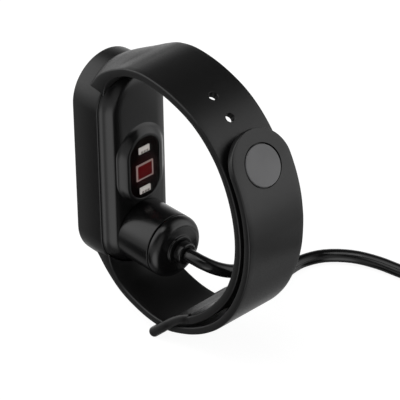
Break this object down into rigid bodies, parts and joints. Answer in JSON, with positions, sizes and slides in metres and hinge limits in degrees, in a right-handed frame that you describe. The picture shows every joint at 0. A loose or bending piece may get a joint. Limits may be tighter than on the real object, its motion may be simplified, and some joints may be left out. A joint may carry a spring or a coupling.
{
  "type": "fitness tracker band",
  "caption": "Wrist activity tracker: pill-shaped pod with rear optical sensor in a silicone strap closed by a snap tab and keeper, with a magnetic charging puck on a cord.",
  "frame": {"origin": "under the middle of the closed band, on the surface it stands on, at the lowest point of the keeper bar", "axes": "+Z along the pod, upwards towards the strap with the holes; +X from the display through the wrist; +Y across the strap"},
  "size_m": [0.0985, 0.0708, 0.0622],
  "materials": {
    "silicone": "matte black silicone",
    "cap_plastic": "satin dark grey",
    "display_glass": "polished black cover glass",
    "adhesive": "black adhesive",
    "case_plastic": "satin black",
    "sensor_glass": "clear tinted window",
    "circuit_board": "solder mask",
    "led": "white",
    "photodiode": "deep red filter",
    "display": "unlit display",
    "aluminium": "satin",
    "battery_foil": "foil pouch",
    "chip": "matte black",
    "steel": "plated",
    "gold_contact": "gold plated",
    "puck_plastic": "satin black",
    "magnet": "nickel plated",
    "cord_jacket": "smooth black jacket",
    "tongue_plastic": "white"
  },
  "bodies": {
    "band": {"holder_ring": "silicone", "upper_strap": "silicone", "lower_strap": "silicone"},
    "snap_tab": {"strap_tab": "silicone", "snap_cap": "cap_plastic", "snap_post": "cap_plastic"},
    "pod": {"front_glass": "display_glass", "glass_gasket": "adhesive", "front_case": "case_plastic", "back_case": "case_plastic", "sensor_window": "sensor_glass", "sensor_board": "circuit_board", "led_upper": "led", "led_lower": "led", "photodiode": "photodiode", "photodiode_frame": "led", "display_panel": "display", "display_bracket": "aluminium", "battery_cell": "battery_foil", "main_board": "circuit_board", "processor_chip": "chip", "motion_sensor_chip": "chip", "radio_shield": "steel", "attraction_plate": "steel", "charge_contact_1": "gold_contact", "charge_contact_2": "gold_contact", "vibration_motor_case": "steel", "vibration_motor_cover": "steel"},
    "motor_rotor": {"vibration_motor_rotor": "steel"},
    "charger": {"puck_shell": "puck_plastic", "puck_cap": "puck_plastic", "strain_relief": "puck_plastic", "puck_magnet_1": "magnet", "puck_magnet_2": "magnet", "contact_board": "circuit_board", "pogo_barrel_1": "gold_contact", "pogo_barrel_2": "gold_contact", "cord_run": "cord_jacket", "cord_coil": "cord_jacket", "cord_tail": "cord_jacket", "usb_overmold": "puck_plastic", "usb_shell": "steel", "usb_tongue": "tongue_plastic", "usb_contact_1": "gold_contact", "usb_contact_2": "gold_contact", "usb_contact_3": "gold_contact", "usb_contact_4": "gold_contact"},
    "contact_pin_1": {"pogo_pin_1": "gold_contact"},
    "contact_pin_2": {"pogo_pin_2": "gold_contact"}
  },
  "joints": [
    {"name": "pod_push_out", "type": "slide", "parent": "band", "child": "pod", "axis": [-1, 0, 0], "range_m": [0, 0.014]},
    {"name": "snap_tab_open", "type": "hinge", "parent": "band", "child": "snap_tab", "pos_m": [0.02515, 0, 0.03815], "axis": [0, 1, 0], "range_deg": [0, 40], "stiffness_Nm_per_rad": 0.02},
    {"name": "charger_pull_off", "type": "slide", "parent": "pod", "child": "charger", "axis": [1, 0, 0], "range_m": [0, 0.0028], "stiffness_N_per_m": 60, "springref_m": -0.01},
    {"name": "contact_pin_1_press", "type": "slide", "parent": "charger", "child": "contact_pin_1", "axis": [1, 0, 0], "range_m": [0, 0.0006], "stiffness_N_per_m": 60},
    {"name": "contact_pin_2_press", "type": "slide", "parent": "charger", "child": "contact_pin_2", "axis": [1, 0, 0], "range_m": [0, 0.0006], "stiffness_N_per_m": 60},
    {"name": "vibration_motor_spin", "type": "hinge", "parent": "pod", "child": "motor_rotor", "pos_m": [-0.0204, 0, 0.02015], "axis": [1, 0, 0], "continuous": true}
  ]
}
